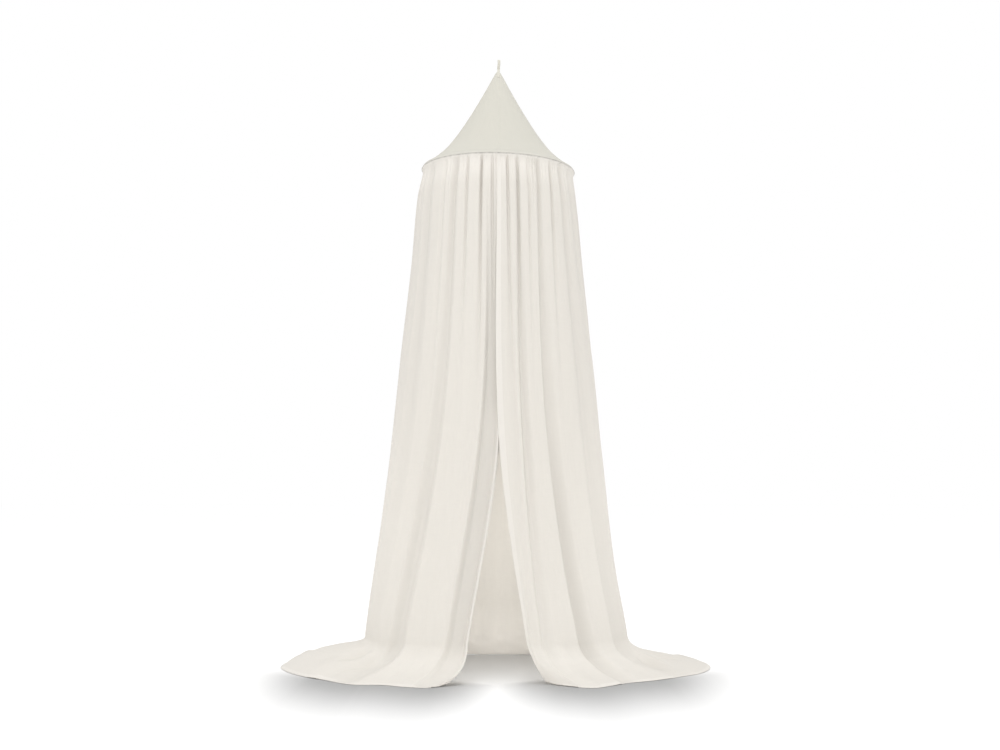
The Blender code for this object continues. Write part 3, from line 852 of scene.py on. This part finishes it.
class CANOPY_OT_stage(bpy.types.Operator):
    """Sets up the pale floor, the soft studio light and the camera"""

    bl_idname = "canopy.stage"
    bl_label = "Stage"

    def execute(self, context):
        scene = context.scene
        scene.view_settings.view_transform = "Standard"
        bpy.ops.mesh.primitive_plane_add(size=40, location=(0, 12, z_at(0)))
        floor = context.object
        floor.name = "studio_floor"
        # Matt painted board: flat and evenly pale, with no gloss
        material, tree = new_material("matt_painted_floor")
        place = add(tree, "ShaderNodeTexCoord")
        blotches = add(
            tree, "ShaderNodeTexNoise", {}, Vector=place.outputs["Object"],
            Scale=per_metre(FLOOR_BLOTCHES), Detail=1.0,
        )
        rough = add(tree, "ShaderNodeMapRange", {}, Value=blotches.outputs["Fac"], To_Min=0.9, To_Max=1.0)
        paint = add(
            tree, "ShaderNodeBsdfPrincipled", {}, Base_Color=(*scene.canopy_colours.floor, 1),
            Roughness=rough.outputs[0], Specular_IOR_Level=0.0,
        )
        add(tree, "ShaderNodeOutputMaterial", {}, Surface=paint.outputs[0])
        floor.data.materials.append(material)
        # A painted shadow on the floor around the hems
        painted_shadow_card()

        world = bpy.data.worlds.new("white_studio")
        scene.world = world
        world.use_nodes = True
        sky = world.node_tree.nodes["Background"]
        sky.inputs["Color"].default_value = (*linear("#FFFFFF"), 1)
        sky.inputs["Strength"].default_value = 1.0

        for row in LAMPS:
            light = bpy.data.lights.new(row.name, "AREA")
            light.shape = "ELLIPSE"
            light.size, light.size_y = row.size
            light.energy = row.power
            lamp = bpy.data.objects.new(row.name, light)
            lamp.location = row.place
            lamp.rotation_euler = (Vector(row.aim) - Vector(row.place)).to_track_quat("-Z", "Y").to_euler()
            lamp.visible_camera = False
            scene.collection.objects.link(lamp)

        lens = bpy.data.cameras.new("camera")
        lens.sensor_width = CAMERA_SENSOR
        lens.lens = CAMERA_LENS
        camera = bpy.data.objects.new("camera", lens)
        camera.location = (*CAMERA_PLACE, z_at(CAMERA_HEIGHT))
        camera.rotation_euler = (CAMERA_PITCH, 0, 0)
        scene.collection.objects.link(camera)
        scene.camera = camera
        return {"FINISHED"}


def curtain_double_and_painted_light(path, u, to_hem, at_edge, hem):
    """How double the curtain's cloth looks, point by point, and where painted light lightens it."""
    double_and_painted_light = np.zeros_like(to_hem)
    double_and_painted_light[at_edge] = DOUBLE_EDGE
    double_and_painted_light[to_hem < hem] = DOUBLE_HEM
    # The back is halfway round
    at_back = np.exp(-((u[:, None] - 0.5) / 0.14) ** 4)
    # Low on the back and on the train the lighter colour is painted light; in the heading the cloth is double
    for share, where in (
        (PAINTED_LIGHT_BACK, at_back * np.clip(1.4 - to_hem / 0.14, 0, 1)),
        (DOUBLE_HEADING, np.clip(1 - path[None, :] / 0.09, 0, 1)),
        (PAINTED_LIGHT_TRAIN, np.clip((path[None, :] - PAINTED_LIGHT_FROM) / 0.12, 0, 1)),
    ):
        double_and_painted_light = np.maximum(double_and_painted_light, share * where)
    return double_and_painted_light


class CANOPY_OT_curtain(bpy.types.Operator):
    """Hangs the gathered curtain under the hoop, with its train on the floor and its hems turned"""

    bl_idname = "canopy.curtain"
    bl_label = "Curtain"

    def execute(self, context):
        sizes = context.scene.canopy_sizes
        colours = context.scene.canopy_colours
        cotton = plain_woven_cotton(
            "plain_woven_cotton_voile", colours.curtain, colours.curtain_thick_and_painted_light,
            translucence=0.16, crumple_mm=1.6,
        )
        grid, path, u, painted_fold_shade = curtain_grid(sizes)
        down = np.linalg.norm(np.diff(grid, axis=1), axis=2)
        v = np.concatenate([np.zeros((len(u), 1)), np.cumsum(down, axis=1)], axis=1)
        cloth = np.stack([np.broadcast_to(u[:, None] * WEAVE_WIDTH, v.shape), v], axis=2)
        hem = sizes.hem_width
        along = np.linalg.norm(np.diff(grid, axis=0), axis=2).mean(axis=1)
        from_start = np.concatenate([[0], np.cumsum(along)])
        from_end = from_start[-1] - from_start
        at_edge = (from_start < hem) | (from_end < hem)
        double_and_painted_light = curtain_double_and_painted_light(path, u, v[:, -1:] - v, at_edge, hem)
        # The stitched gathers bite into the seam under the casing, deeper at some pleats than at others, and
        # their crevice is given painted shade
        bite = 0.75 + 0.25 * drift(u[:, None] * 240, 0 * path[None, :], 19)
        painted_crevice_shade = bite * np.clip(1 - path[None, :] / SEAM_ROWS[2], 0, 1)
        layers = [grid, cloth, double_and_painted_light, painted_fold_shade, painted_crevice_shade]
        layers = turn_hems(layers, (from_start < hem).sum(), (from_end < hem).sum())
        grid, cloth, double_and_painted_light, painted_fold_shade, painted_crevice_shade = layers
        marks = {"double_and_painted_light": double_and_painted_light, "painted_fold_shade": painted_fold_shade, "painted_crevice_shade": painted_crevice_shade}
        piece = make_mesh("gathered_curtain", grid, cloth, marks, cotton)
        link(piece, "curtain")
        return {"FINISHED"}


class CANOPY_OT_cone(bpy.types.Operator):
    """Stretches the cloth cone from its tip to the hoop and turns its lower hem round the hoop"""

    bl_idname = "canopy.cone"
    bl_label = "Cone"

    def execute(self, context):
        sizes = context.scene.canopy_sizes
        colours = context.scene.canopy_colours
        cotton = plain_woven_cotton(
            "plain_woven_cotton_cone", colours.cone, colours.curtain_thick_and_painted_light,
            translucence=0.25, crumple_mm=0.8,
        )
        # Columns crowd at the front, where the seam is
        share = np.linspace(-1, 1, CONE_COLUMNS + 1)[:-1]
        angle = math.pi * (0.10 * share + 0.90 * np.sign(share) * np.abs(share) ** 1.8)
        columns = len(angle)
        radii = np.concatenate([[0.0008, 0.0024], np.linspace(0.004, CONE_OUTLINE[-1].radius, CONE_ROWS)])
        drop = cone_drop(radii)
        r = np.broadcast_to(radii, (columns, len(radii))).copy()
        z = np.broadcast_to(z_at(TIP_HEIGHT) - drop, r.shape).copy()
        # The felled seam down the front is a flat ridge with its stitches sunk at one side
        away = radii[None, :] * angle[:, None]
        ridge = SEAM_RIDGE * np.exp(-(away / SEAM_HALF_WIDTH) ** 4)
        ridge -= 0.0003 * np.exp(-((away - SEAM_STITCHES) / 0.0016) ** 2)
        # Faint pulls run down from the tip, and the cloth is drawn in a little along the hem's stitches
        pull = 0.0010 * drift(angle[:, None] * 5, 0.4 + radii[None, :] * 3, 23) * (radii[None, :] / 0.2)
        stitched = np.exp(-((radii[None, :] - HEM_STITCHES) / 0.0022) ** 2)
        z += (ridge + pull) * np.clip(radii[None, :] / 0.02, 0, 1) - 0.0010 * stitched
        # The hem goes down the outer side of the hoop, under it and up its inner side
        turn = np.radians(48 - 300 * np.linspace(0, 1, ROUND_ROWS + 1)[1:])
        round_share = np.linspace(0, 1, ROUND_ROWS)[None, :]
        uneven = drift(angle[:, None] * 16, 0.0, 21) * 0.5 + drift(angle[:, None] * 37, 0.0, 22) * 0.5
        round_hoop = sizes.casing_radius * (1 + 0.07 * uneven * np.sin(math.pi * round_share))
        r = np.concatenate([r, HOOP_RADIUS + round_hoop * np.cos(turn)[None, :]], axis=1)
        z = np.concatenate([z, z_at(HOOP_HEIGHT) + round_hoop * np.sin(turn)[None, :]], axis=1)
        x = r * np.sin(angle)[:, None]
        y = -r * np.cos(angle)[:, None]
        grid = np.stack([x, y, z + hoop_tilt(x, y)], axis=2)
        down = np.linalg.norm(np.diff(grid, axis=1), axis=2)
        v = np.concatenate([np.zeros((columns, 1)), np.cumsum(down, axis=1)], axis=1)
        cloth = np.stack([angle[:, None] * 0.2 + 0 * v, v], axis=2)
        double_and_painted_light = np.zeros_like(v)
        double_and_painted_light[:, len(radii) - 1:] = 0.22
        # Painted shade along the hem's sunk stitches and beside the front seam's ridge
        painted_crevice_shade = np.zeros_like(v)
        painted_crevice_shade[:, :len(radii)] = 0.07 * stitched + 0.03 * np.exp(-((away - SEAM_STITCHES) / 0.0018) ** 2)
        # Under the hoop the hem meets the pressed pleats, and the gap between them is given painted shade
        pleat = 0.5 + 0.5 * drift(angle[:, None] * 34, 0.0, 24)
        painted_crevice_shade[:, len(radii):] = np.clip(round_share * 6.0 - 1.5, 0, 1) * (0.5 + 0.3 * pleat)
        marks = {"double_and_painted_light": double_and_painted_light, "painted_crevice_shade": painted_crevice_shade}
        piece = make_mesh("stretched_cone", grid, cloth, marks, cotton, loop=True)
        link(piece, "cone")
        return {"FINISHED"}


class CANOPY_OT_hoop(bpy.types.Operator):
    """Finishes the hoop's rod, which the hem of the cone hides"""

    bl_idname = "canopy.hoop"
    bl_label = "Hoop"

    def execute(self, context):
        # Extruded polyethylene rod: smooth and satin, its gloss a little uneven from the die
        material, tree = new_material("extruded_polyethylene_rod")
        place = add(tree, "ShaderNodeTexCoord")
        marks = add(
            tree, "ShaderNodeTexNoise", {}, Vector=place.outputs["Object"],
            Scale=per_metre(DIE_MARKS), Detail=2.0,
        )
        rough = add(tree, "ShaderNodeMapRange", {}, Value=marks.outputs["Fac"], To_Min=0.3, To_Max=0.45)
        rod = add(
            tree, "ShaderNodeBsdfPrincipled", {}, Base_Color=(*context.scene.canopy_colours.rod, 1),
            Roughness=rough.outputs[0], IOR=1.51,
        )
        add(tree, "ShaderNodeOutputMaterial", {}, Surface=rod.outputs[0])
        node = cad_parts["hoop"]
        node.data.materials.clear()
        node.data.materials.append(material)
        return {"FINISHED"}


class CANOPY_OT_loop(bpy.types.Operator):
    """Sews the doubled tape of the hanging loop on the tip of the cone"""

    bl_idname = "canopy.loop"
    bl_label = "Hanging loop"

    def execute(self, context):
        sizes = context.scene.canopy_sizes
        colours = context.scene.canopy_colours
        tape = plain_woven_cotton(
            "woven_cotton_tape", colours.tape, colours.tape, translucence=0.05, crumple_mm=0.2
        )
        half = LOOP_HALF_WIDTH
        thick = sizes.tape_thickness
        tip = z_at(TIP_HEIGHT)
        # Each end lies down the flank of the cone, then rises to the bend on the hook
        clear = thick / 2 + 0.0004
        front = []
        for r in TAPE_ON_CONE:
            flank = math.atan(float(cone_drop(r + 0.001) - cone_drop(r - 0.001)) / 0.002)
            y, z = -r - clear * math.sin(flank), tip - float(cone_drop(r)) + clear * math.cos(flank)
            front.append((y, z))
        front += [(-away, tip + height) for away, height in TAPE_RISING]
        top = -half + thick / 2
        arc = [
            (half * math.cos(math.pi * (1 - i / 8)), top + half * math.sin(math.pi * (1 - i / 8)))
            for i in range(9)
        ]
        knots = np.array(front + arc + [(-y, z) for y, z in reversed(front)])
        step = np.linalg.norm(np.diff(knots, axis=0), axis=1)
        place = np.concatenate([[0], np.cumsum(step)])
        at = np.linspace(0, place[-1], 120)
        y = curve_through(place, knots[:, 0], at)
        z = curve_through(place, knots[:, 1], at)
        lean = 0.0012 * np.sin(math.pi * at / place[-1] * 3) + 0.0036 * np.clip((z - tip) / 0.03, 0, 1) ** 2
        along = np.stack([np.gradient(y), np.gradient(z)], axis=1)
        along /= np.linalg.norm(along, axis=1, keepdims=True)
        out = np.stack([-along[:, 1], along[:, 0]], axis=1)
        # The tape's section is a flat oblong with soft selvedges
        turn = np.linspace(0, 2 * math.pi, 20, endpoint=False)
        across = np.sign(np.cos(turn)) * np.abs(np.cos(turn)) ** 0.35 * sizes.tape_width / 2
        deep = np.sign(np.sin(turn)) * np.abs(np.sin(turn)) ** 0.6 * thick / 2
        # Its cut ends are pressed shut under the stitches
        pressed = np.clip(np.minimum(at, place[-1] - at) / 0.0015, 0.02, 1)
        deep = deep[:, None] * pressed[None, :]
        grid = np.stack([
            lean[None, :] + across[:, None] + 0 * at[None, :],
            y[None, :] + deep * out[None, :, 0],
            z[None, :] + deep * out[None, :, 1],
        ], axis=2)
        cloth = np.stack([across[:, None] + 0 * at[None, :], 0 * across[:, None] + at[None, :]], axis=2)
        double_and_painted_light = np.ones(cloth.shape[:2])
        piece = make_mesh("loop_of_tape", grid, cloth, {"double_and_painted_light": double_and_painted_light}, tape, loop=True)
        link(piece, "hanging_loop")
        return {"FINISHED"}


class CANOPY_PT_panel(bpy.types.Panel):
    """Sizes, colours and pieces of the bed canopy"""

    bl_idname = "CANOPY_PT_panel"
    bl_label = "Bed canopy"
    bl_space_type = "VIEW_3D"
    bl_region_type = "UI"
    bl_category = "Canopy"

    def draw(self, context):
        layout = self.layout
        for group in (context.scene.canopy_sizes, context.scene.canopy_colours):
            box = layout.box()
            for name in group.__annotations__:
                box.prop(group, name)
        for operator in OPERATORS:
            layout.operator(operator.bl_idname)


OPERATORS = (CANOPY_OT_stage, CANOPY_OT_cone, CANOPY_OT_hoop, CANOPY_OT_loop, CANOPY_OT_curtain)
CLASSES = (CanopySizes, CanopyColours, *OPERATORS, CANOPY_PT_panel)


def register():
    for item in CLASSES:
        bpy.utils.register_class(item)
    bpy.types.Scene.canopy_sizes = PointerProperty(type=CanopySizes)
    bpy.types.Scene.canopy_colours = PointerProperty(type=CanopyColours)


def unregister():
    del bpy.types.Scene.canopy_sizes
    del bpy.types.Scene.canopy_colours
    for item in reversed(CLASSES):
        bpy.utils.unregister_class(item)


def main():
    register()
    bpy.ops.canopy.stage()
    bpy.ops.canopy.cone()
    bpy.ops.canopy.hoop()
    bpy.ops.canopy.loop()
    bpy.ops.canopy.curtain()


if __name__ == "__main__":
    main()
